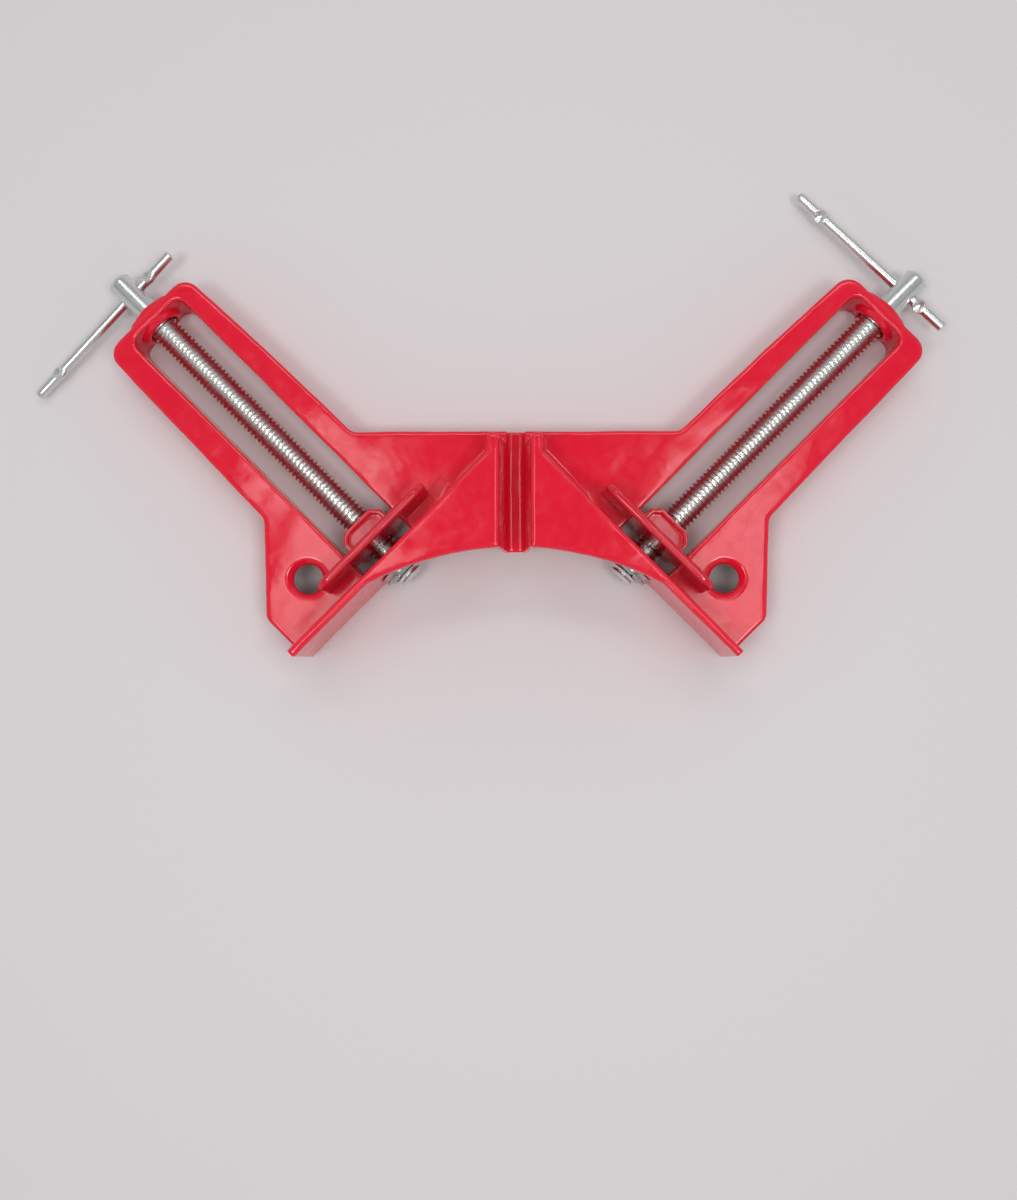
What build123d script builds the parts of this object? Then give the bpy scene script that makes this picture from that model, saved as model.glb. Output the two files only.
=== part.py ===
from build123d import *
from math import asin, cos, degrees, radians, sin, sqrt
import os

os.makedirs("parts", exist_ok=True)

# All sizes are in millimetres. The origin is on the bench, under the corner where the faces of the
# two fences would meet. +X runs out along the right arm, +Y along the left arm, and +Z is up.

# Body casting: heights
fence_height = 35.0
platform_height = 17.0
platform_thickness = 4.0
skirt = 2.6
web_thickness = 3.5

# Body casting: fences, web and corner nose, seen from above
fence_length = 98.3
fence_thickness = 3.0
web_depth = 38.0
web_arc_radius = 95.5
nose_half_width = 8.8
nose_setback = 2.6
front_overhang = 0.8

# Saw channel down the middle of the corner
channel_top_width = 9.6
channel_floor_width = 4.9
channel_floor_height = 14.3
channel_wall = 1.4
channel_floor_thickness = 2.0

# Slotted arms and the wings beside them
screw_offset = 55.75
screw_height = 8.5
slot_width = 20.9
slot_length = 108.3
slot_corner_radius = 3.0
end_wall = 3.5
outer_rail_reach = 20.5
outer_rail_tip_reach = 18.9
inner_rail_reach = 19.3
inner_rail_taper_reach = 18.6
inner_rail_taper_start = 75.0
inner_rail_tip_reach = 16.9
arm_corner_radius = 5.5
bend_radius = 4.0
wing_reach = 98.0
wing_low = 14.2
wing_high = 37.7
boss_diameter = 16.9
boss_rise = 1.9
boss_draft = 0.2
boss_foot_diameter = 22.0
boss_foot_rise = 0.9
boss_foot_step = 1.2
inner_boss_diameter = 13.5
inner_boss_rise = 1.8
inner_boss_draft = 35.0

# Screw holes that fix the clamp to a bench
hole_along_fence = 79.65
hole_from_fence = 13.9
hole_diameter = 9.2
hole_sink_diameter = 12.7
hole_sink_angle = 90.0

# Edge rounding and chamfers of the casting
platform_chamfer = 0.7
slot_chamfer = 0.5
fence_rounding = 1.1
nose_rounding = 1.9
wall_steepness = 20.0
boss_chamfer = 0.9

# Screws: 3/8 inch with 16 threads to the inch, cut as a plain cylinder of the thread's diameter
thread_diameter = 9.525
thread_chamfer = 1.2
screw_clearance = 0.34
tail_length = 2.6
thread_into_boss = 4.2
head_diameter = 8.0
head_length = 15.3
head_chamfer = 0.9

# Jaws
jaw_gap = 5.2
jaw_length = 45.5
jaw_thickness = 3.1
jaw_corner_radius = 5.0
jaw_chamfer = 0.8
slide_clearance = 0.3
nut_width = 16.6
nut_behind_plate = 7.7
nut_chamfer = 2.8
nut_rise = 0.8
nut_panel_rim = 1.5
nut_panel_depth = 0.5
nut_clearance = 0.08
nut_setback = 0.5

# Thrust washers and push-on retainers behind the fences
washer_diameter = 16.0
washer_thickness = 1.2
washer_clearance = 0.3
washer_gap = 0.2
retainer_diameter = 14.6
retainer_thickness = 0.7
retainer_dish = 0.9
retainer_rim = 1.7
retainer_slots = 6
retainer_slot_width = 1.1

# Tommy bars: round bar, punched thin near both ends so that it spreads and can't leave the head
bar_diameter = 3.4
bar_length = 64.0
bar_from_boss = 8.7
bar_clearance = 0.1
bar_chamfer = 0.4
bar_end_above_bench = {"left": 1.5, "right": 3.4}
pinch_from_end = 10.3
pinch_length = 5.0
pinch_width = 4.65
pinch_spread = 2.2
pinch_thickness = 1.3
bar_offset = {"left": 13.5, "right": 14.9}
pinch_turn = {"left": 55.0, "right": 10.0}

# Modelling allowances: how near counts as touching, and how far a cut runs past the metal
touching = 0.05
cut_past = 1.0

# Worked out from the sizes above
boss_face = slot_length + end_wall + boss_rise
screw_radius = thread_diameter / 2
head_radius = head_diameter / 2
bar_radius = bar_diameter / 2
nut_back = jaw_gap + jaw_thickness + nut_behind_plate
bar_station = boss_face + bar_from_boss
tail_end = -fence_thickness - washer_gap - washer_thickness - retainer_dish - retainer_thickness - tail_length

mirror_angle = 45.0
mirror_plane = Plane(origin=(0, 0, 0), z_dir=(1, -1, 0))
channel_plane = Plane(origin=(0, 0, 0), x_dir=(-1, 1, 0), z_dir=(1, 1, 0))
arms = {
    "left": Plane(origin=(-screw_offset, 0, 0), x_dir=(-1, 0, 0), z_dir=(0, 1, 0)),
    "right": Plane(origin=(0, -screw_offset, 0), x_dir=(0, 1, 0), z_dir=(1, 0, 0)),
}


def seen_from_corner(sideways, outward):
    # A point in plan from its distance left of the mirror plane and its distance in front of the corner
    return ((outward - sideways) / sqrt(2), (outward + sideways) / sqrt(2))


# The body casting is symmetrical about the saw channel, so its left half is made and mirrored.
arm_left = -screw_offset - outer_rail_reach
arm_right = -screw_offset + inner_rail_reach
arm_end = slot_length + end_wall
front_sum = front_overhang * sqrt(2)

with BuildPart() as body_casting:
    # Platform, wing and arm rails as one solid block
    with BuildSketch() as platform:
        with BuildLine():
            Polyline(
                (front_sum / 2, front_sum / 2),
                (arm_right, front_sum - arm_right),
                (-screw_offset + inner_rail_taper_reach, inner_rail_taper_start),
                (-screw_offset + inner_rail_tip_reach, arm_end),
                (-screw_offset - outer_rail_tip_reach, arm_end),
                (arm_left, wing_high),
                (-wing_reach, wing_low),
                (-wing_reach, -fence_thickness),
                (-fence_thickness, -fence_thickness),
                close=True,
            )
        make_face()
        fillet(platform.vertices().group_by(Axis.Y)[-1], arm_corner_radius)
        bends = [(arm_right, front_sum - arm_right), (arm_left, wing_high), (-wing_reach, wing_low)]
        for bend in bends:
            fillet(platform.vertices().sort_by_distance((*bend, 0))[0], bend_radius)
    extrude(amount=platform_height)
    rim = body_casting.faces().sort_by(Axis.Z)[-1].edges()
    rim = rim.filter_by(lambda e: e.center().Y > front_sum and e.center().Y > e.center().X + front_sum)
    chamfer(rim, platform_chamfer)

    # Underside hollowed out, leaving the skirt, the slot's walls and the end wall
    with BuildSketch() as hollow:
        add(platform.sketch)
        offset(amount=-skirt, mode=Mode.REPLACE)
        with Locations((-screw_offset, slot_length / 2)):
            Rectangle(slot_width + 2 * skirt, slot_length + 2 * end_wall, mode=Mode.SUBTRACT)
    extrude(amount=platform_height - platform_thickness, mode=Mode.SUBTRACT)

    # Fence and corner nose
    with BuildSketch() as fence:
        with BuildLine():
            Polyline(
                (-fence_length, 0),
                (-nose_half_width * sqrt(2), 0),
                seen_from_corner(nose_half_width, -nose_setback),
                seen_from_corner(0, -nose_setback),
                (-fence_thickness, -fence_thickness),
                (-fence_length, -fence_thickness),
                close=True,
            )
        make_face()
    extrude(amount=fence_height)

    # Top web between the fences, cut back by a round arc
    arc_centre = -(web_depth + web_arc_radius) / sqrt(2)
    with BuildSketch(Plane.XY.offset(fence_height - web_thickness)) as web:
        with BuildLine():
            Polyline(
                seen_from_corner(0, -nose_setback),
                (-fence_thickness, -fence_thickness / 2),
                (-fence_length, -fence_thickness / 2),
                (-fence_length, -fence_length),
                close=True,
            )
        make_face()
        with Locations((arc_centre, arc_centre)):
            Circle(web_arc_radius, mode=Mode.SUBTRACT)
    extrude(amount=web_thickness)

    # Boss on the arm's end, the slot, the screw's clearance holes and the bench screw's hole
    boss_axis = Axis(arms["left"].origin + Vector(0, 0, screw_height), arms["left"].z_dir)
    boss_plane = Plane(origin=boss_axis.position, x_dir=boss_axis.direction, z_dir=arms["left"].x_dir)
    boss_radius = boss_diameter / 2
    foot_radius = boss_foot_diameter / 2
    with BuildSketch(boss_plane) as boss:
        with BuildLine():
            Polyline(
                (arm_end, 0),
                (arm_end, foot_radius),
                (arm_end + boss_foot_rise, boss_radius + boss_foot_step),
                (arm_end + boss_foot_rise, boss_radius),
                (boss_face - boss_chamfer, boss_radius - boss_draft),
                (boss_face, boss_radius - boss_draft - boss_chamfer),
                (boss_face, 0),
                close=True,
            )
        make_face()
    revolve(axis=boss_axis)
    for level, upward in ((platform_height - platform_chamfer, 1), (0, -1)):
        with BuildSketch(Plane.XY.offset(level)) as beyond_arm:
            with Locations((-screw_offset, arm_end + boss_rise / 2)):
                Rectangle(boss_foot_diameter, boss_rise)
        extrude(amount=upward * boss_foot_diameter, mode=Mode.SUBTRACT)
    with BuildSketch() as slot:
        with Locations((-screw_offset, slot_length / 2)):
            Rectangle(slot_width, slot_length)
        fillet(slot.vertices().group_by(Axis.Y)[-1], slot_corner_radius)
    extrude(amount=platform_height, mode=Mode.SUBTRACT)
    flats = body_casting.faces().filter_by(Axis.Z)
    platform_top = flats.filter_by(lambda f: abs(f.center().Z - platform_height) < touching)
    slot_rim = platform_top.edges().filter_by(
        lambda e: abs(e.center().X + screw_offset) < slot_width / 2 + touching
        and touching < e.center().Y < slot_length + touching
    )
    chamfer(slot_rim, slot_chamfer)
    with BuildSketch(arms["left"].offset(slot_length - inner_boss_rise)) as inner_boss:
        with Locations((0, screw_height)):
            Circle(inner_boss_diameter / 2)
    extrude(amount=inner_boss_rise, taper=-inner_boss_draft)
    with BuildSketch(arms["left"].offset(-fence_thickness)) as screw_way:
        with Locations((0, screw_height)):
            Circle(screw_radius + screw_clearance)
    extrude(amount=boss_face + fence_thickness, mode=Mode.SUBTRACT)
    with Locations((-hole_along_fence, hole_from_fence, platform_height)):
        CounterSinkHole(hole_diameter / 2, hole_sink_diameter / 2, counter_sink_angle=hole_sink_angle)

    mirror(about=mirror_plane)

    # Saw channel: a tapered trough hung under the web, cut off along the web's arc
    trough_floor = channel_floor_height - channel_floor_thickness
    trough_start = -web_depth - channel_wall
    trough_end_reach = 2 * channel_top_width
    with BuildSketch(channel_plane.offset(trough_start)) as trough:
        with BuildLine():
            Polyline(
                (-channel_top_width / 2 - channel_wall, fence_height),
                (channel_top_width / 2 + channel_wall, fence_height),
                (channel_floor_width / 2 + channel_wall, trough_floor),
                (-channel_floor_width / 2 - channel_wall, trough_floor),
                close=True,
            )
        make_face()
    extrude(amount=-trough_start - nose_setback)
    with BuildSketch(channel_plane.offset(trough_start)) as channel:
        with BuildLine():
            Polyline(
                (-channel_top_width / 2, fence_height),
                (channel_top_width / 2, fence_height),
                (channel_floor_width / 2, channel_floor_height),
                (-channel_floor_width / 2, channel_floor_height),
                close=True,
            )
        make_face()
    extrude(amount=-trough_start + front_overhang, mode=Mode.SUBTRACT)
    with BuildSketch(Plane.XY.offset(trough_floor)) as trough_end:
        with Locations((arc_centre, arc_centre)):
            Circle(web_arc_radius)
        with Locations(seen_from_corner(0, -web_depth)):
            Rectangle(trough_end_reach, trough_end_reach, rotation=mirror_angle, mode=Mode.INTERSECT)
    extrude(amount=fence_height - trough_floor, mode=Mode.SUBTRACT)

    # Rounded edges: the ends of the nose's two walls, then all round the tops of the fences and web
    nose_sum = -nose_setback * sqrt(2)
    nose_edges = body_casting.edges().filter_by(
        lambda e: abs(e.center().X + e.center().Y - nose_sum) < touching and e.center().Z > platform_height
    )
    nose_ends = nose_edges.filter_by(lambda e: abs(e.tangent_at(0).Z) > cos(radians(wall_steepness)))
    fillet(nose_ends, nose_rounding)
    tops = body_casting.faces().filter_by(Plane.XY).group_by(Axis.Z)[-1]
    fillet(tops.edges(), fence_rounding)
body_casting.part.label = "body_casting"
export_step(body_casting.part, "parts/body_casting.step")

for side, arm in arms.items():
    screw_axis = Axis(arm.origin + Vector(0, 0, screw_height), arm.z_dir)

    # Jaw: an upright plate with a nut block that hangs in the slot and runs on the screw
    with BuildPart() as jaw:
        with BuildSketch(arm.offset(jaw_gap)) as plate:
            plate_bottom = platform_height + slide_clearance
            with Locations((0, (plate_bottom + fence_height) / 2)):
                Rectangle(jaw_length, fence_height - plate_bottom)
            fillet(plate.vertices().group_by(Axis.Y)[-1], jaw_corner_radius)
        extrude(amount=jaw_thickness)
        faces_across = jaw.faces().filter_by(Plane(origin=arm.origin, z_dir=arm.z_dir))
        chamfer(faces_across.edges().filter_by(lambda e: e.center().Z > plate_bottom + touching), jaw_chamfer)
        with BuildSketch(arm.offset(jaw_gap + nut_setback)) as nut:
            nut_top = platform_height + nut_rise
            with Locations((0, screw_height)):
                Circle(nut_width / 2)
            with Locations((0, (screw_height + nut_top) / 2)):
                Rectangle(nut_width, nut_top - screw_height)
        extrude(amount=nut_back - jaw_gap - nut_setback)
        back = jaw.faces().sort_by(Axis(arm.origin, arm.z_dir))[-1]
        chamfer(back.edges().filter_by(Axis.Z), nut_chamfer)
        with BuildSketch(Plane.XY.offset(nut_top)) as nut_panel:
            make_face(jaw.faces().filter_by(lambda f: abs(f.center().Z - nut_top) < touching).edges())
            offset(amount=-nut_panel_rim, mode=Mode.REPLACE)
        extrude(amount=-nut_panel_depth, mode=Mode.SUBTRACT)
        with BuildSketch(arm) as nut_bore:
            with Locations((0, screw_height)):
                Circle(screw_radius + nut_clearance)
        extrude(amount=nut_back + cut_past, mode=Mode.SUBTRACT)
    jaw.part.label = f"{side}_jaw"
    export_step(jaw.part, f"parts/{side}_jaw.step")

    # Tommy bar's own line: square to the screw, with its long end leaning down to the bench
    reach = bar_length / 2 + bar_offset[side]
    lean = asin((screw_height - bar_radius - bar_end_above_bench[side]) / reach)
    bar_direction = arm.x_dir * cos(lean) - Vector(0, 0, sin(lean))
    bar_centre = screw_axis.position + arm.z_dir * bar_station + bar_direction * bar_offset[side]
    bar_line = Plane(origin=bar_centre, x_dir=arm.z_dir, z_dir=bar_direction)

    # Screw: threaded shank with a plain head that has the tommy bar's cross hole
    with BuildPart() as screw:
        with BuildSketch(Plane(origin=screw_axis.position, x_dir=arm.z_dir, z_dir=arm.x_dir)) as shank:
            head_end = boss_face + head_length
            thread_end = boss_face - thread_into_boss
            with BuildLine():
                Polyline(
                    (tail_end, 0),
                    (tail_end, screw_radius - thread_chamfer),
                    (tail_end + thread_chamfer, screw_radius),
                    (thread_end, screw_radius),
                    (thread_end + screw_radius - head_radius, head_radius),
                    (head_end - head_chamfer, head_radius),
                    (head_end, head_radius - head_chamfer),
                    (head_end, 0),
                    close=True,
                )
            make_face()
        revolve(axis=screw_axis)
        with BuildSketch(bar_line.offset(-bar_offset[side])) as cross_hole:
            Circle(bar_radius + bar_clearance)
        extrude(amount=head_radius + cut_past, both=True, mode=Mode.SUBTRACT)
    screw.part.label = f"{side}_screw"
    export_step(screw.part, f"parts/{side}_screw.step")

    # Tommy bar
    with BuildPart() as bar:
        with BuildSketch(bar_line.offset(-bar_length / 2)) as round_bar:
            Circle(bar_radius)
        extrude(amount=bar_length)
        for end_edge in bar.edges().filter_by(GeomType.CIRCLE):
            chamfer(end_edge, bar_chamfer)
        wide_way = bar_line.rotated((0, 0, pinch_turn[side])).x_dir
        punch_plane = Plane(origin=bar_centre, x_dir=bar_direction, z_dir=wide_way)
        flat_plane = Plane(origin=bar_centre, x_dir=bar_direction, z_dir=punch_plane.y_dir)
        pinch_centre = bar_length / 2 - pinch_from_end
        punch_depth = bar_radius - pinch_thickness / 2
        punch_radius = (pinch_length**2 / 4 + punch_depth**2) / (2 * punch_depth)
        with BuildSketch(punch_plane) as punches:
            with GridLocations(2 * pinch_centre, pinch_thickness + 2 * punch_radius, 2, 2):
                Circle(punch_radius)
        extrude(amount=bar_diameter, both=True, mode=Mode.SUBTRACT)
        with BuildSketch(flat_plane) as spreads:
            with GridLocations(2 * pinch_centre, 0, 2, 1):
                Ellipse(pinch_spread, pinch_width / 2)
        extrude(amount=pinch_thickness / 2, both=True)
    bar.part.label = f"{side}_tommy_bar"
    export_step(bar.part, f"parts/{side}_tommy_bar.step")

    # Thrust washer behind the fence
    washer_face = -fence_thickness - washer_gap
    with BuildPart() as washer:
        with BuildSketch(arm.offset(washer_face - washer_thickness)) as ring:
            with Locations((0, screw_height)):
                Circle(washer_diameter / 2)
                Circle(screw_radius + washer_clearance, mode=Mode.SUBTRACT)
        extrude(amount=washer_thickness)
    washer.part.label = f"{side}_thrust_washer"
    export_step(washer.part, f"parts/{side}_thrust_washer.step")

    # Push-on retainer: a dished ring, slotted into teeth that grip the screw
    retainer_face = washer_face - washer_thickness
    rim_radius = retainer_diameter / 2
    with BuildPart() as retainer:
        with BuildSketch(Plane(origin=screw_axis.position, x_dir=arm.z_dir, z_dir=arm.x_dir)) as section:
            with BuildLine():
                Polyline(
                    (retainer_face, rim_radius),
                    (retainer_face, rim_radius - retainer_rim),
                    (retainer_face - retainer_dish, screw_radius),
                    (retainer_face - retainer_dish - retainer_thickness, screw_radius),
                    (retainer_face - retainer_thickness, rim_radius - retainer_rim),
                    (retainer_face - retainer_thickness, rim_radius),
                    close=True,
                )
            make_face()
        revolve(axis=screw_axis)
        with BuildSketch(arm.offset(retainer_face)) as slots:
            with Locations((0, screw_height)):
                with PolarLocations((rim_radius - retainer_rim) / 2, retainer_slots):
                    Rectangle(rim_radius - retainer_rim, retainer_slot_width)
        extrude(amount=-retainer_dish - retainer_thickness, mode=Mode.SUBTRACT)
    retainer.part.label = f"{side}_retainer"
    export_step(retainer.part, f"parts/{side}_retainer.step")

    print(side, "bar leans", round(degrees(lean), 2), "degrees")
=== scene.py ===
from math import asin, ceil, cos, pi, radians, sin, sqrt

import bmesh
import bpy
import numpy as np
from mathutils import Matrix, Vector


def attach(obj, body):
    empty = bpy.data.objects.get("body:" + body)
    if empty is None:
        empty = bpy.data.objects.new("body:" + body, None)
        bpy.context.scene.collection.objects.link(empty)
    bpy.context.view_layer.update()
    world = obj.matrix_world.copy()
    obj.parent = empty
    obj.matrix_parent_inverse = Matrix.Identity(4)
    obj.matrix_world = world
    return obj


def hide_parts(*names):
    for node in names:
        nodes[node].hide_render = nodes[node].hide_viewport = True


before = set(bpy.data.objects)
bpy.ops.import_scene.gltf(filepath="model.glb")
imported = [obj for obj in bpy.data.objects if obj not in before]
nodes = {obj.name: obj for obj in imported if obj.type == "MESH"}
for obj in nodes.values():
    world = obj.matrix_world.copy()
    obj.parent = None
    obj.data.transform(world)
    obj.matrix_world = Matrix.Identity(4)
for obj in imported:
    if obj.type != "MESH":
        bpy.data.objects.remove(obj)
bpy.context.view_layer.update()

mm = 0.001
sides = ("left", "right")
# In millimetres: closer than nearly counts as there, and points closer than a weld become one
nearly, cadWeld, drawnWeld = 0.01, 0.001, 0.002

# How each arm lies: along is the screw's way out from the fence, across is square to it on the flat,
# fence is the way that the fence runs from the corner, and foot is where the screw's axis meets the
# fence's face
arms = {
    "left": {
        "along": Vector((0, 1, 0)), "across": Vector((-1, 0, 0)), "fence": Vector((-1, 0, 0)),
        "foot": Vector((-55.75, 0, 8.5)) * mm,
    },
    "right": {
        "along": Vector((1, 0, 0)), "across": Vector((0, 1, 0)), "fence": Vector((0, -1, 0)),
        "foot": Vector((0, -55.75, 8.5)) * mm,
    },
}


def linearColor(hexText):
    # an sRGB hex value to the linear colour that the shaders take
    channels = [int(hexText[i:i + 2], 16) / 255 for i in (1, 3, 5)]
    return [c / 12.92 if c <= 0.04045 else ((c + 0.055) / 1.055) ** 2.4 for c in channels] + [1.0]


def addNode(tree, kind, settings=None, inputs=None):
    # settings are the node's own properties, and each input is a plain value or another node's socket
    node = tree.nodes.new(kind)
    for name, value in (settings or {}).items():
        setattr(node, name, value)
    for name, value in (inputs or {}).items():
        if isinstance(value, bpy.types.NodeSocket):
            tree.links.new(value, node.inputs[name])
        else:
            node.inputs[name].default_value = value
    return node


# The Mix node's colour sockets by number, and the band that holds most of a noise texture's values
firstColor, secondColor, mixedColor = 6, 7, 2
noiseLow, noiseHigh = 0.3, 0.7


def startMaterial(name):
    material = bpy.data.materials.new(name)
    material.use_nodes = True
    tree = material.node_tree
    tree.nodes.clear()
    output = addNode(tree, "ShaderNodeOutputMaterial")
    place = addNode(tree, "ShaderNodeTexCoord").outputs["Object"]
    return material, tree, output, place


def coverWith(piece, material):
    # on the object's own slots, so that a CAD mesh keeps the material that it came with
    if not piece.data.materials:
        piece.data.materials.append(None)
    for slotOfPiece in piece.material_slots:
        slotOfPiece.link = "OBJECT"
        slotOfPiece.material = material


def cleanMesh(mesh, weld):
    work = bmesh.new()
    work.from_mesh(mesh)
    bmesh.ops.remove_doubles(work, verts=work.verts, dist=weld * mm)
    bmesh.ops.dissolve_degenerate(work, edges=work.edges, dist=weld * mm)
    bmesh.ops.recalc_face_normals(work, faces=work.faces)
    work.to_mesh(mesh)
    work.free()


def addPiece(name, verts, faces, body, material, smoothAngle):
    mesh = bpy.data.meshes.new(name)
    mesh.from_pydata([tuple(v) for v in verts], [], faces)
    cleanMesh(mesh, drawnWeld)
    mesh.shade_smooth()
    mesh.set_sharp_from_angle(angle=radians(smoothAngle))
    piece = bpy.data.objects.new(name, mesh)
    bpy.context.scene.collection.objects.link(piece)
    coverWith(piece, material)
    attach(piece, body)
    return piece


# Die-cast aluminium sprayed with gloss enamel: a deep even red with a wet shine, hazy in places, with
# a fine orange peel over slow waves. The jaws get a darker red, which is painted shade. Sizes and depths are
# in millimetres.
enamelLook = {
    "bodyRed": ("#e0152f", "#ea1c39"),
    # the jaws' reds, darkened as painted shade
    "jawRedWithPaintedShade": ("#c8122a", "#d51830"),
    "tintSize": 18.0,
    "roughness": 0.14,
    "roughnessSwing": 0.06,
    "hazeSize": 2.6,
    "ior": 1.5,
    "peelSize": 1.6,
    "peelDepth": 0.004,
    "waveSize": 5.5,
    "waveDepth": 0.03,
}


def enamelMaterial(name, reds):
    look = enamelLook
    material, tree, output, place = startMaterial(name)
    tint = addNode(tree, "ShaderNodeTexNoise", {}, {
        "Vector": place, "Scale": 1 / (look["tintSize"] * mm), "Detail": 3.0, "Roughness": 0.5})
    paint = addNode(tree, "ShaderNodeMix", {"data_type": "RGBA"}, {
        "Factor": tint.outputs["Fac"], firstColor: linearColor(reds[0]), secondColor: linearColor(reds[1])})
    haze = addNode(tree, "ShaderNodeTexNoise", {}, {
        "Vector": place, "Scale": 1 / (look["hazeSize"] * mm), "Detail": 4.0, "Roughness": 0.6})
    shine = addNode(tree, "ShaderNodeMapRange", {}, {
        "Value": haze.outputs["Fac"], "From Min": noiseLow, "From Max": noiseHigh,
        "To Min": look["roughness"] - look["roughnessSwing"],
        "To Max": look["roughness"] + look["roughnessSwing"]})
    wave = addNode(tree, "ShaderNodeTexNoise", {}, {
        "Vector": place, "Scale": 1 / (look["waveSize"] * mm), "Detail": 2.0})
    waveBump = addNode(tree, "ShaderNodeBump", {}, {
        "Height": wave.outputs["Fac"], "Distance": look["waveDepth"] * mm, "Strength": 1.0})
    peel = addNode(tree, "ShaderNodeTexNoise", {}, {
        "Vector": place, "Scale": 1 / (look["peelSize"] * mm), "Detail": 2.0})
    peelBump = addNode(tree, "ShaderNodeBump", {}, {
        "Height": peel.outputs["Fac"], "Distance": look["peelDepth"] * mm, "Strength": 1.0,
        "Normal": waveBump.outputs["Normal"]})
    shader = addNode(tree, "ShaderNodeBsdfPrincipled", {}, {
        "Base Color": paint.outputs[mixedColor], "Roughness": shine.outputs["Result"], "IOR": look["ior"],
        "Normal": peelBump.outputs["Normal"]})
    tree.links.new(shader.outputs["BSDF"], output.inputs["Surface"])
    return material


bodyEnamel = enamelMaterial("glossRedEnamelOnDieCastAluminium", enamelLook["bodyRed"])
# the jaws' copy of the enamel, with its red darkened as painted shade
jawEnamelWithPaintedShade = enamelMaterial("redEnamelDarkenedAsPaintedShade", enamelLook["jawRedWithPaintedShade"])

# Mild steel with bright zinc plate: pale silver with a faint cool green, clouded a little by handling.
# The grain of both metals is drawn coarser than the real one, so that it shows.
zincLook = {
    "bright": "#e9ebe8",
    "dull": "#d0d4d1",
    "cloudSize": 4.0,
    "roughness": 0.28,
    "roughnessSwing": 0.05,
    "grainSize": 0.35,
    "grainDepth": 0.003,
}
# Spring steel, stamped, hardened and only lightly plated: greyer and less bright than the zinc
springLook = {
    "bright": "#c9ccca",
    "dull": "#989c9a",
    "cloudSize": 3.0,
    "roughness": 0.28,
    "roughnessSwing": 0.06,
    "grainSize": 0.5,
    "grainDepth": 0.004,
}


def metalMaterial(name, look):
    material, tree, output, place = startMaterial(name)
    cloud = addNode(tree, "ShaderNodeTexNoise", {}, {
        "Vector": place, "Scale": 1 / (look["cloudSize"] * mm), "Detail": 4.0, "Roughness": 0.6})
    metal = addNode(tree, "ShaderNodeMix", {"data_type": "RGBA"}, {
        "Factor": cloud.outputs["Fac"],
        firstColor: linearColor(look["dull"]), secondColor: linearColor(look["bright"])})
    shine = addNode(tree, "ShaderNodeMapRange", {}, {
        "Value": cloud.outputs["Fac"], "From Min": noiseLow, "From Max": noiseHigh,
        "To Min": look["roughness"] + look["roughnessSwing"],
        "To Max": look["roughness"] - look["roughnessSwing"]})
    grain = addNode(tree, "ShaderNodeTexNoise", {}, {
        "Vector": place, "Scale": 1 / (look["grainSize"] * mm), "Detail": 3.0})
    bump = addNode(tree, "ShaderNodeBump", {}, {
        "Height": grain.outputs["Fac"], "Distance": look["grainDepth"] * mm, "Strength": 1.0})
    shader = addNode(tree, "ShaderNodeBsdfPrincipled", {}, {
        "Base Color": metal.outputs[mixedColor], "Metallic": 1.0, "Roughness": shine.outputs["Result"],
        "Normal": bump.outputs["Normal"]})
    tree.links.new(shader.outputs["BSDF"], output.inputs["Surface"])
    return material


brightZinc = metalMaterial("brightZincPlatedSteel", zincLook)
springSteel = metalMaterial("temperedSpringSteel", springLook)
print("finishes made")

# Castings: the CAD shape with soft corners, slow hollows in its faces and slightly wavy edges. The
# voxel is the remeshed skin's fineness in millimetres, smoothing is how many times it's evened out,
# softness is how far each time, and keep is the share of its faces that stays.
bodyLook = {"voxel": 0.44, "smoothing": 5, "softness": 0.5, "keep": 0.3}
jawLook = {"voxel": 0.3, "smoothing": 5, "softness": 0.5, "keep": 0.4}
# Each wave is (size, depth) in millimetres, and all of them only take material away
waveLook = {
    "waves": ((26.0, 0.22), (9.0, 0.06), (3.0, 0.010)),
    "directions": 20,
    "sizeSpread": (0.7, 1.3),
    "benchClear": 0.6,
}
# Concave foot between each fence and the platform beside the nose, left off where the jaws travel:
# its radius at each distance from the corner along the fence
footLook = {
    "radii": ((9.2, 3.9), (22.0, 3.7), (29.0, 3.0), (32.5, 1.2)),
    "steps": 8,
    "overlap": 0.8,
    "platform": 17.0,
}


def waviness(points, size, seed):
    # a smooth random field between 0 and 1: plane waves in all directions, about one size long each
    maker = np.random.default_rng(seed)
    total = np.zeros(len(points))
    for _ in range(waveLook["directions"]):
        direction = maker.normal(size=3)
        direction *= maker.uniform(*waveLook["sizeSpread"]) * 2 * pi / (size * mm) / np.linalg.norm(direction)
        total += np.cos(points @ direction + maker.uniform(0, 2 * pi))
    return 0.5 + 0.5 * np.tanh(total / sqrt(waveLook["directions"]))


def evaluatedCopy(piece):
    # the mesh with its modifiers applied
    depsgraph = bpy.context.evaluated_depsgraph_get()
    made = bpy.data.meshes.new_from_object(piece.evaluated_get(depsgraph))
    piece.modifiers.clear()
    return made


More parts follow.
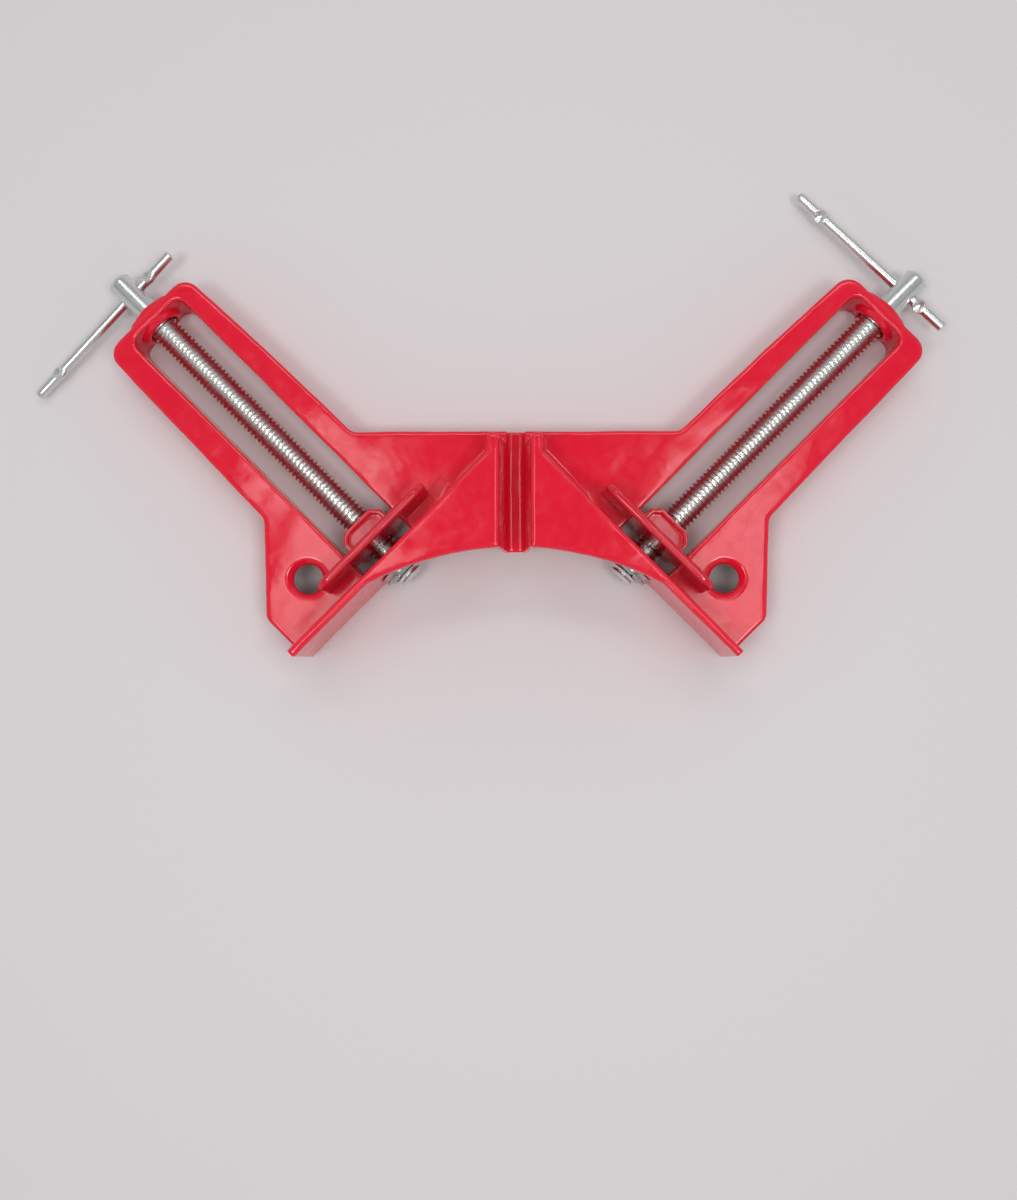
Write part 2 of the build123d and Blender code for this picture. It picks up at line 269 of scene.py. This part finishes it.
def castCopy(nodeName, body, look, material, extraMeshes=()):
    work = bmesh.new()
    work.from_mesh(nodes[nodeName].data)
    for extra in extraMeshes:
        work.from_mesh(extra)
    mesh = bpy.data.meshes.new(nodeName + "_enamelled")
    work.to_mesh(mesh)
    work.free()
    cleanMesh(mesh, cadWeld)
    piece = bpy.data.objects.new(nodeName + "_enamelled", mesh)
    bpy.context.scene.collection.objects.link(piece)
    skin = piece.modifiers.new("skin", "REMESH")
    skin.mode = "VOXEL"
    skin.voxel_size = look["voxel"] * mm
    soften = piece.modifiers.new("soften", "SMOOTH")
    soften.factor = look["softness"]
    soften.iterations = look["smoothing"]
    piece.data = evaluatedCopy(piece)

    count = len(piece.data.vertices)
    points, normals = np.empty(count * 3), np.empty(count * 3)
    piece.data.vertices.foreach_get("co", points)
    piece.data.vertices.foreach_get("normal", normals)
    points, normals = points.reshape(-1, 3), normals.reshape(-1, 3)
    inward = sum(depth * mm * waviness(points, size, seed)
                 for seed, (size, depth) in enumerate(waveLook["waves"]))
    # the waves fade out just above the bench, so that the casting stands flat
    inward *= np.clip(points[:, 2] / (waveLook["benchClear"] * mm) - 0.5, 0, 1)
    points -= normals * inward[:, None]
    points[:, 2] = np.maximum(points[:, 2], 0)  # nothing sinks into the bench
    piece.data.vertices.foreach_set("co", points.ravel())
    thin = piece.modifiers.new("thin", "DECIMATE")
    thin.ratio = look["keep"]
    piece.data = evaluatedCopy(piece)
    piece.data.shade_smooth()
    coverWith(piece, material)
    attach(piece, body)
    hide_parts(nodeName)
    print(nodeName, "cast with", len(piece.data.polygons), "faces")


def footMesh(side):
    # a strip with a quarter-round hollow, which shrinks towards the jaw's plate
    look = footLook
    out, onward = arms[side]["along"], arms[side]["fence"]
    under = look["overlap"]
    verts, faces = [], []
    for station, radius in look["radii"]:
        ring = [(-under, -under), (-under, radius), (0.0, radius)]
        for step in range(1, look["steps"]):
            turn = pi / 2 * step / look["steps"]
            ring.append((radius * (1 - cos(turn)), radius * (1 - sin(turn))))
        ring += [(radius, 0.0), (radius, -under)]
        for fromFence, up in ring:
            verts.append((out * fromFence + onward * station + Vector((0, 0, look["platform"] + up))) * mm)
    wide = len(verts) // len(look["radii"])
    for k in range(len(look["radii"]) - 1):
        for i in range(wide):
            j = (i + 1) % wide
            faces.append((k * wide + i, k * wide + j, (k + 1) * wide + j, (k + 1) * wide + i))
    faces.append(tuple(range(wide))[::-1])
    faces.append(tuple(range(len(verts) - wide, len(verts))))
    mesh = bpy.data.meshes.new("foot")
    mesh.from_pydata([tuple(v) for v in verts], [], faces)
    return mesh


castCopy("body_casting", "frame", bodyLook, bodyEnamel, [footMesh(side) for side in sides])
for side in sides:
    # the jaws take the enamel whose red is darkened as painted shade
    castCopy(side + "_jaw", side + "_jaw", jawLook, jawEnamelWithPaintedShade)

# Screws: a rolled 60 degree thread, then the plain head with the tommy bar's cross hole. Places along
# the screw are measured from the fence's face.
screwLook = {
    "pitch": 1.5875,
    # one pitch of the thread: the share of it that has gone by, and the radius there
    "profile": (
        (0.0, 4.70), (0.0625, 4.7625), (0.125, 4.70), (0.4375, 3.88), (0.5625, 3.80), (0.6875, 3.88),
    ),
    "tailEnd": -8.6,
    "tailRadius": 3.56,
    "threadEnd": 109.5,
    "fadeLength": 1.6,
    "headRadius": 4.0,
    "headEnd": 129.0,
    "headChamfer": 0.9,
    # the soft edge where the chamfer meets the end face: along and outward from the chamfer's inner edge
    "headEdge": ((-0.12, 0.06), (0.0, -0.1)),
    "headSteps": 24,
    "segments": 64,
    "smoothAngle": 50,
    "holeStation": 122.4,
    "holeRadius": 1.8,
    "holeSegments": 48,
}


def smoothStep(value):
    value = min(1.0, max(0.0, value))
    return value * value * (3 - 2 * value)


def screwPoint(side, along, radius, turn):
    # along the screw, out from its axis and round it
    axis, first = arms[side]["along"], arms[side]["across"]
    outward = first * cos(turn) + axis.cross(first) * sin(turn)
    return arms[side]["foot"] + (axis * along + outward * radius) * mm


def threadShape(side):
    # the thread as one long helical sheet, cut square at the tail and faded into the plain head
    look = screwLook
    segments, start, end = look["segments"], look["tailEnd"], look["threadEnd"]
    perPitch = len(look["profile"])
    rows = (ceil((end - start) / look["pitch"]) + 2) * perPitch
    verts, faces = [], []
    for row in range(rows):
        share, profileRadius = look["profile"][row % perPitch]
        for segment in range(segments + 1):
            along = start + look["pitch"] * (row // perPitch - 1 + share + segment / segments)
            if along <= start:
                along, radius = start, look["tailRadius"]
            elif along >= end:
                along, radius = end, look["headRadius"]
            else:
                radius = min(profileRadius, look["tailRadius"] + along - start)
                fade = smoothStep((end - along) / look["fadeLength"])
                radius = look["headRadius"] + (radius - look["headRadius"]) * fade
            verts.append(screwPoint(side, along, radius, 2 * pi * segment / segments))
    wide = segments + 1
    for row in range(rows - 1):
        for segment in range(segments):
            a = row * wide + segment
            faces.append((a, a + 1, a + wide + 1, a + wide))
    tail = len(verts)
    verts.append(screwPoint(side, start, 0, 0))
    for segment in range(segments):
        verts.append(screwPoint(side, start, look["tailRadius"], 2 * pi * segment / segments))
    for segment in range(segments):
        faces.append((tail, tail + 1 + (segment + 1) % segments, tail + 1 + segment))
    return verts, faces


def drilledHead(side):
    # the head is closed at both ends at first, so that the cross hole can be cut through it
    look = screwLook
    segments, start = look["segments"], look["threadEnd"]
    plain = look["headEnd"] - look["headChamfer"]
    rimRadius = look["headRadius"] - look["headChamfer"]
    stations = [(start + (plain - start) * k / look["headSteps"], look["headRadius"])
                for k in range(look["headSteps"] + 1)]
    stations += [(look["headEnd"] + along, rimRadius + outward) for along, outward in look["headEdge"]]
    verts, faces = [], []
    for along, radius in stations:
        for segment in range(segments):
            verts.append(screwPoint(side, along, radius, 2 * pi * segment / segments))
    for k in range(len(stations) - 1):
        for segment in range(segments):
            a, b = k * segments + segment, k * segments + (segment + 1) % segments
            faces.append((a, b, b + segments, a + segments))
    faces.append(tuple(range(segments))[::-1])
    faces.append(tuple(range(len(verts) - segments, len(verts))))
    headMesh = bpy.data.meshes.new("head")
    headMesh.from_pydata([tuple(v) for v in verts], [], faces)
    cleanMesh(headMesh, drawnWeld)
    head = bpy.data.objects.new("head", headMesh)
    bpy.context.scene.collection.objects.link(head)

    holeCentre = arms[side]["foot"] + arms[side]["along"] * look["holeStation"] * mm
    turnToBar = barDirection(side).to_track_quat("Z", "Y").to_matrix().to_4x4()
    cutterMesh = bpy.data.meshes.new("holeCutter")
    work = bmesh.new()
    # the cutter stands out of the head by half its radius on both sides
    bmesh.ops.create_cone(
        work, cap_ends=True, segments=look["holeSegments"], radius1=look["holeRadius"] * mm,
        radius2=look["holeRadius"] * mm, depth=3 * look["headRadius"] * mm,
        matrix=Matrix.Translation(holeCentre) @ turnToBar)
    work.to_mesh(cutterMesh)
    work.free()
    cutter = bpy.data.objects.new("holeCutter", cutterMesh)
    bpy.context.scene.collection.objects.link(cutter)
    cut = head.modifiers.new("crossHole", "BOOLEAN")
    cut.operation = "DIFFERENCE"
    cut.solver = "EXACT"
    cut.object = cutter
    drilled = evaluatedCopy(head)
    bpy.data.objects.remove(head)
    bpy.data.objects.remove(cutter)
    return drilled


def makeScrew(side):
    look = screwLook
    axis = arms[side]["along"]
    verts, faces = threadShape(side)
    drilled = drilledHead(side)
    # the head's inner end face is left out, so that the thread runs into the head as one skin
    offset = len(verts)
    joint = arms[side]["foot"] + axis * look["threadEnd"] * mm
    verts += [v.co.copy() for v in drilled.vertices]
    for polygon in drilled.polygons:
        if abs((polygon.center - joint).dot(axis)) > nearly * mm:
            faces.append(tuple(offset + i for i in polygon.vertices))
    piece = addPiece(side + "_screw_threaded", verts, faces, side + "_screw",
                     brightZinc, look["smoothAngle"])
    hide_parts(side + "_screw")
    print(side, "screw cut with", len(piece.data.polygons), "faces")


# Tommy bars: round bar, punched from two sides near each end so that it spreads. The offset is how far
# the bar has slid through its head, and crimpTurn is the way that it spreads, in degrees.
barLook = {
    "left": {"offset": 13.5, "endAboveBench": 1.5, "crimpTurn": 24.0},
    "right": {"offset": 14.9, "endAboveBench": 3.4, "crimpTurn": -25.0},
    "radius": 1.7,
    "length": 64.0,
    "crimpFromEnd": 10.3,
    "crimpLength": 5.0,
    "crimpHalfWidth": 2.3,
    "spreadLength": 2.4,
    "punchLeaves": 0.42,
    "punchRadius": 1.9,
    "punchRound": 0.6,
    "chamfer": 0.4,
    "chamferSlope": 0.9,
    "segments": 64,
    "smoothAngle": 35,
    # the rings' spacing at the ends, at the crimps and between them
    "endZone": 0.6,
    "endStep": 0.1,
    "crimpStep": 0.14,
    "plainStep": 1.0,
}


def barDirection(side):
    # square to the screw, leaning so that the bar's long end comes down near the bench
    look = barLook[side]
    reach = barLook["length"] / 2 + look["offset"]
    lean = asin((arms[side]["foot"].z / mm - barLook["radius"] - look["endAboveBench"]) / reach)
    return arms[side]["across"] * cos(lean) - Vector((0, 0, sin(lean)))


def barRadius(fromCentre, turn):
    # the bar's outline at one turn, fromCentre along it, with turn 0 the way that it spreads
    look = barLook
    half = look["length"] / 2
    toEnd = half - abs(fromCentre)
    radius = look["radius"] - look["chamferSlope"] * max(0.0, look["chamfer"] - toEnd)
    fromCrimp = abs(abs(fromCentre) - (half - look["crimpFromEnd"]))
    spread = look["crimpHalfWidth"] - look["radius"]
    wide = radius + spread * smoothStep(1 - fromCrimp / look["spreadLength"])
    c, s = abs(cos(turn)), abs(sin(turn))
    outline = 1 / sqrt((c / wide) ** 2 + (s / radius) ** 2)
    # the punch is a round nose, so the floor of its dent rises along the bar and across it
    curve = look["punchRound"] * c * c / (2 * look["punchRadius"])
    rise = look["punchLeaves"] + fromCrimp ** 2 / (2 * look["punchRadius"])
    if outline * s <= rise + curve * outline ** 2:
        return outline
    if curve < 1e-9:  # straight at the punch, where the floor is too flat to divide by its curve
        return rise / s
    return (s - sqrt(s * s - 4 * curve * rise)) / (2 * curve)


def makeBar(side):
    look = barLook
    axis, foot = arms[side]["along"], arms[side]["foot"]
    direction = barDirection(side)
    centre = foot + axis * screwLook["holeStation"] * mm + direction * look[side]["offset"] * mm
    # the crimp's turn is measured in the plane square to the bar, from the screw's axis
    second = direction.cross(axis)
    crimpTurn = radians(look[side]["crimpTurn"])
    half = look["length"] / 2
    segments = look["segments"]
    stations = [-half]
    while stations[-1] < half - nearly:
        toEnd = half - abs(stations[-1])
        toCrimp = abs(abs(stations[-1]) - half + look["crimpFromEnd"])
        step = look["plainStep"]
        if toEnd < look["endZone"]:
            step = look["endStep"]
        elif toCrimp < look["crimpLength"] / 2 + look["endZone"]:
            step = look["crimpStep"]
        stations.append(min(half, stations[-1] + step))
    verts, faces = [], []
    for along in stations:
        for segment in range(segments):
            turn = 2 * pi * segment / segments
            sideways = axis * cos(turn) + second * sin(turn)
            verts.append(centre + (direction * along + sideways * barRadius(along, turn - crimpTurn)) * mm)
    for k in range(len(stations) - 1):
        for segment in range(segments):
            a, b = k * segments + segment, k * segments + (segment + 1) % segments
            faces.append((a, b, b + segments, a + segments))
    faces.append(tuple(range(segments))[::-1])
    faces.append(tuple(range(len(verts) - segments, len(verts))))
    piece = addPiece(side + "_tommy_bar_crimped", verts, faces, side + "_bar",
                     brightZinc, look["smoothAngle"])
    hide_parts(side + "_tommy_bar")
    print(side, "bar made with", len(piece.data.polygons), "faces")


for side in sides:
    makeScrew(side)
    makeBar(side)
    coverWith(nodes[side + "_thrust_washer"], brightZinc)
    coverWith(nodes[side + "_retainer"], springSteel)

# A table top in pale matt laminate: even and soft, and it mirrors next to nothing. Its sizes are in
# metres. Up to farFrom from the middle it shows the light that falls on it, and past farTo one level.
tableLook = {
    "color": "#dcd8d9",
    "roughness": 0.8,
    "size": 30.0,
    "farFrom": 0.25,
    "farTo": 0.8,
    "farLevel": 0.9,
}

floorMesh = bpy.data.meshes.new("paleTable")
edge = tableLook["size"] / 2
corners = [(-edge, -edge, 0), (edge, -edge, 0), (edge, edge, 0), (-edge, edge, 0)]
floorMesh.from_pydata(corners, [], [(0, 1, 2, 3)])
floor = bpy.data.objects.new("paleTable", floorMesh)
bpy.context.scene.collection.objects.link(floor)
tableTop, tree, output, place = startMaterial("mattPaleTableTop")
shader = addNode(tree, "ShaderNodeBsdfPrincipled", {}, {
    "Base Color": linearColor(tableLook["color"]), "Roughness": tableLook["roughness"]})
# The lamps light only the middle, so further out the eye and the reflections see it evenly pale
away = addNode(tree, "ShaderNodeVectorMath", {"operation": "LENGTH"}, {0: place})
farness = addNode(tree, "ShaderNodeMapRange", {"interpolation_type": "SMOOTHSTEP"}, {
    "Value": away.outputs["Value"], "From Min": tableLook["farFrom"], "From Max": tableLook["farTo"]})
rays = addNode(tree, "ShaderNodeLightPath")
seenOrMirrored = addNode(tree, "ShaderNodeMath", {"operation": "MAXIMUM"}, {
    0: rays.outputs["Is Camera Ray"], 1: rays.outputs["Is Glossy Ray"]})
seenAnyWay = addNode(tree, "ShaderNodeMath", {"operation": "MAXIMUM"}, {
    0: seenOrMirrored.outputs["Value"], 1: rays.outputs["Is Transmission Ray"]})
share = addNode(tree, "ShaderNodeMath", {"operation": "MULTIPLY"}, {
    0: farness.outputs["Result"], 1: seenAnyWay.outputs["Value"]})
pale = addNode(tree, "ShaderNodeEmission", {}, {
    "Color": linearColor(tableLook["color"]), "Strength": tableLook["farLevel"]})
blend = addNode(tree, "ShaderNodeMixShader", {}, {
    0: share.outputs["Value"], 1: shader.outputs["BSDF"], 2: pale.outputs["Emission"]})
tree.links.new(blend.outputs["Shader"], output.inputs["Surface"])
coverWith(floor, tableTop)

# The room's brightness by height: 0 is the horizon and all below it, 0.5 is 30 degrees up and 1 is
# straight up. Low down it's about as pale as the table, so that the table's far end is faint. Right
# above it's dark, so that the flat tops keep their deep red, and the ring around that lights the metal.
roomLook = {
    "color": "#f4f4f6",
    "levels": (
        (0.0, 0.64), (0.5, 0.64), (0.515, 0.45), (0.55, 0.25), (0.62, 0.2), (0.69, 0.45), (0.885, 0.45),
        (0.93, 0.12), (1.0, 0.12),
    ),
}
world = bpy.data.worlds.new("dimRoom")
bpy.context.scene.world = world
world.use_nodes = True
roomTree = world.node_tree
roomTree.nodes.clear()
rayWay = addNode(roomTree, "ShaderNodeTexCoord").outputs["Generated"]
rayHeight = addNode(roomTree, "ShaderNodeSeparateXYZ", {}, {"Vector": rayWay})
brightness = addNode(roomTree, "ShaderNodeValToRGB", {}, {"Fac": rayHeight.outputs["Z"]})
stops = brightness.color_ramp.elements
for height, level in roomLook["levels"]:
    # the ramp starts with a stop at either end, and the rest are added between them
    stop = stops[0] if height == 0.0 else stops[-1] if height == 1.0 else stops.new(height)
    stop.color = (level, level, level, 1)
sky = addNode(roomTree, "ShaderNodeBackground", {}, {
    "Color": linearColor(roomLook["color"]), "Strength": brightness.outputs["Color"]})
addNode(roomTree, "ShaderNodeOutputWorld", {}, {"Surface": sky.outputs["Background"]})

# How the photograph lies on the bench, and where it was taken from, in metres
pictureRight = Vector((1, -1, 0)) / sqrt(2)
pictureUp = Vector((1, 1, 0)) / sqrt(2)
cameraPlace = Vector((-0.0474, -0.0543, 0.428))


def placeWith(item, right, up, back, at):
    # turns an object so that its own axes lie along right, up and back
    item.matrix_world = Matrix((
        (right.x, up.x, back.x, at.x),
        (right.y, up.y, back.y, at.y),
        (right.z, up.z, back.z, at.z),
        (0, 0, 0, 1)))


# Five soft lamps. Each one's place is from the point under the camera, in metres: to the picture's
# right, to its top, and its height. Its radiance is set against a white of 1.
lampLook = {
    "overLeftWing": {"place": (-0.21, 0.12, 0.95), "size": (0.13, 0.23), "radiance": 4.0},
    "overRightWing": {"place": (0.21, 0.12, 0.95), "size": (0.13, 0.23), "radiance": 4.0},
    "nearLeft": {"place": (-0.27, -0.15, 0.95), "size": (0.26, 0.24), "radiance": 10.6},
    "nearRight": {"place": (0.27, -0.15, 0.95), "size": (0.26, 0.24), "radiance": 10.6},
    "farStrip": {"place": (0.0, 0.56, 0.95), "size": (0.80, 0.12), "radiance": 5.0},
}
lampTarget = Vector((-0.03, -0.03, 0))  # they all face this point on the bench, between the fences


def hangLamp(name, look):
    toRight, toTop, height = look["place"]
    at = Vector((cameraPlace.x, cameraPlace.y, height)) + pictureRight * toRight + pictureUp * toTop
    lamp = bpy.data.lights.new(name, "AREA")
    lamp.shape = "RECTANGLE"
    lamp.size, lamp.size_y = look["size"]
    lamp.energy = look["radiance"] * pi * lamp.size * lamp.size_y
    lampObject = bpy.data.objects.new(name, lamp)
    bpy.context.scene.collection.objects.link(lampObject)
    back = (at - lampTarget).normalized()
    right = (pictureRight - back * pictureRight.dot(back)).normalized()
    placeWith(lampObject, right, back.cross(right), back, at)


for lampName in lampLook:
    hangLamp(lampName, lampLook[lampName])

# The photograph's camera: nearly straight down from about 43 cm. The way it looks is given as shares of
# the picture's right, the picture's top and straight up, and its own right as shares of the first and
# the last.
cameraLook = {
    "lens": 39.0,
    "sensor": 36.0,
    "nearest": 0.01,
    "forward": (-0.0173, 0.0453, -0.9988),
    "right": (0.99985, -0.0173),
}
camera = bpy.data.cameras.new("photographsView")
camera.lens = cameraLook["lens"]
camera.sensor_width = cameraLook["sensor"]
camera.clip_start = cameraLook["nearest"]
cameraObject = bpy.data.objects.new("photographsView", camera)
bpy.context.scene.collection.objects.link(cameraObject)
toRight, toTop, rise = cameraLook["forward"]
forward = (pictureRight * toRight + pictureUp * toTop + Vector((0, 0, rise))).normalized()
sideways, climb = cameraLook["right"]
leaning = pictureRight * sideways + Vector((0, 0, climb))
square = (leaning - forward * leaning.dot(forward)).normalized()
placeWith(cameraObject, square, square.cross(forward), -forward, cameraPlace)
bpy.context.scene.camera = cameraObject
bpy.context.scene.view_settings.view_transform = "Standard"
print("stage set")
